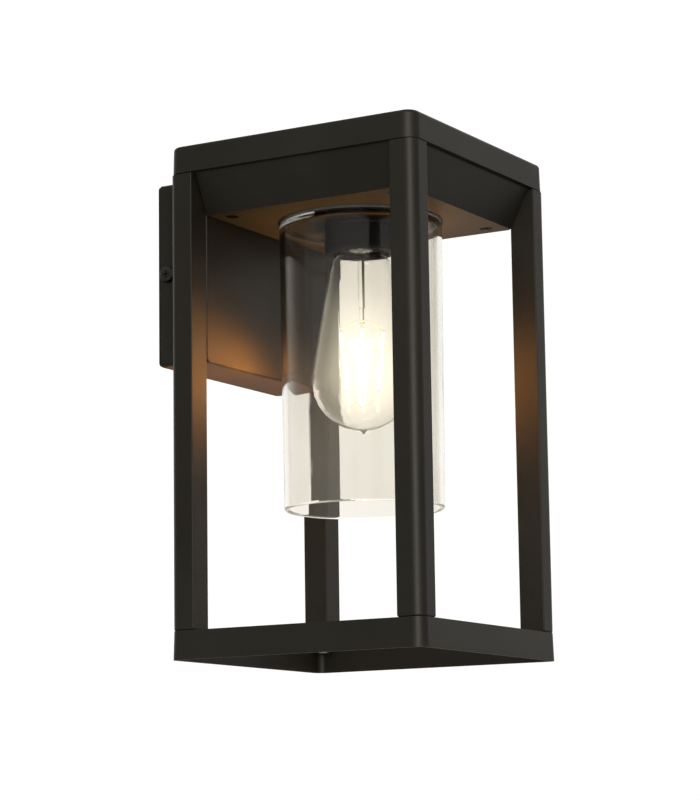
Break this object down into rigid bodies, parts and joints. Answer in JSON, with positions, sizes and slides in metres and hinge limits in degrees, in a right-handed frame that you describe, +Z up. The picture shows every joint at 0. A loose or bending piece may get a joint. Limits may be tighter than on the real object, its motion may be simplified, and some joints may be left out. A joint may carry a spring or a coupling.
{
  "type": "outdoor wall lantern",
  "caption": "Square cast-metal wall lantern: corner posts between a shallow cap and an open ring, a clear glass cylinder, a filament bulb and a small wall box.",
  "frame": {"origin": "on the wall, at the centre of the wall box and of the bracket's cable hole", "axes": "+Z up; the lantern stands out from the wall along -Y; +X to the right when facing the lantern"},
  "size_m": [0.171, 0.1895, 0.3107],
  "materials": {
    "black_cast": "fine-textured matt black powder coat on die-cast aluminium",
    "foam": "closed-cell foam",
    "silicone": "translucent silicone",
    "black_screw": "blackened steel",
    "zinc_steel": "zinc plated",
    "black_rubber": "matt",
    "white_polyamide": "moulded",
    "brass": "rolled",
    "black_bakelite": "moulded phenolic, satin",
    "clear_glass": "clear, fire-polished rim",
    "bulb_glass": "clear",
    "bulb_brass": "rolled, nickel plated",
    "filament": "silicone phosphor coat, lit",
    "support_wire": "drawn",
    "live_pvc": "brown insulation",
    "neutral_pvc": "blue insulation",
    "earth_pvc": "green and yellow insulation"
  },
  "bodies": {
    "lantern": {"top_cap": "black_cast", "ceiling_pan": "black_cast", "wall_box": "black_cast", "back_panel": "black_cast", "bottom_ring": "black_cast", "post_front_left": "black_cast", "post_front_right": "black_cast", "post_rear_left": "black_cast", "post_rear_right": "black_cast", "cap_gasket": "foam", "wall_seal": "foam", "shade_gasket_upper": "silicone", "ceiling_screws": "black_screw", "side_screws": "black_screw", "post_screws_top": "zinc_steel", "post_screws_bottom": "zinc_steel", "box_screws": "zinc_steel", "wall_bracket": "zinc_steel", "terminal_screws": "zinc_steel", "lampholder_screws": "zinc_steel", "earth_screw": "zinc_steel", "earth_lug": "zinc_steel", "cable_grommet": "black_rubber", "lead_grommet": "black_rubber", "shade_gasket_lower": "black_rubber", "terminal_block": "white_polyamide", "terminal_sleeves": "brass", "screw_shell": "brass", "centre_contact": "brass", "lampholder_body": "black_bakelite", "lampholder_cover": "black_bakelite", "glass_shade": "clear_glass", "live_lead": "live_pvc", "neutral_lead": "neutral_pvc", "earth_lead": "earth_pvc"},
    "bulb_foot": {"bulb_contact": "brass"},
    "bulb": {"bulb_glass": "bulb_glass", "bulb_cap": "bulb_brass", "bulb_insulator": "black_bakelite", "bulb_stem": "bulb_glass", "bulb_filaments": "filament", "bulb_supports": "support_wire"}
  },
  "joints": [
    {"name": "bulb_slide", "type": "slide", "parent": "lantern", "child": "bulb_foot", "axis": [0, 0, 1], "range_m": [-0.02, 0]},
    {"name": "bulb_turn", "type": "hinge", "parent": "bulb_foot", "child": "bulb", "pos_m": [0, -0.104, 0], "axis": [0, 0, 1], "range_deg": [-1980, 0]}
  ],
  "couplings": [
    {"joint": "bulb_slide", "follows": "bulb_turn", "m_per_rad": 0.00057757}
  ]
}
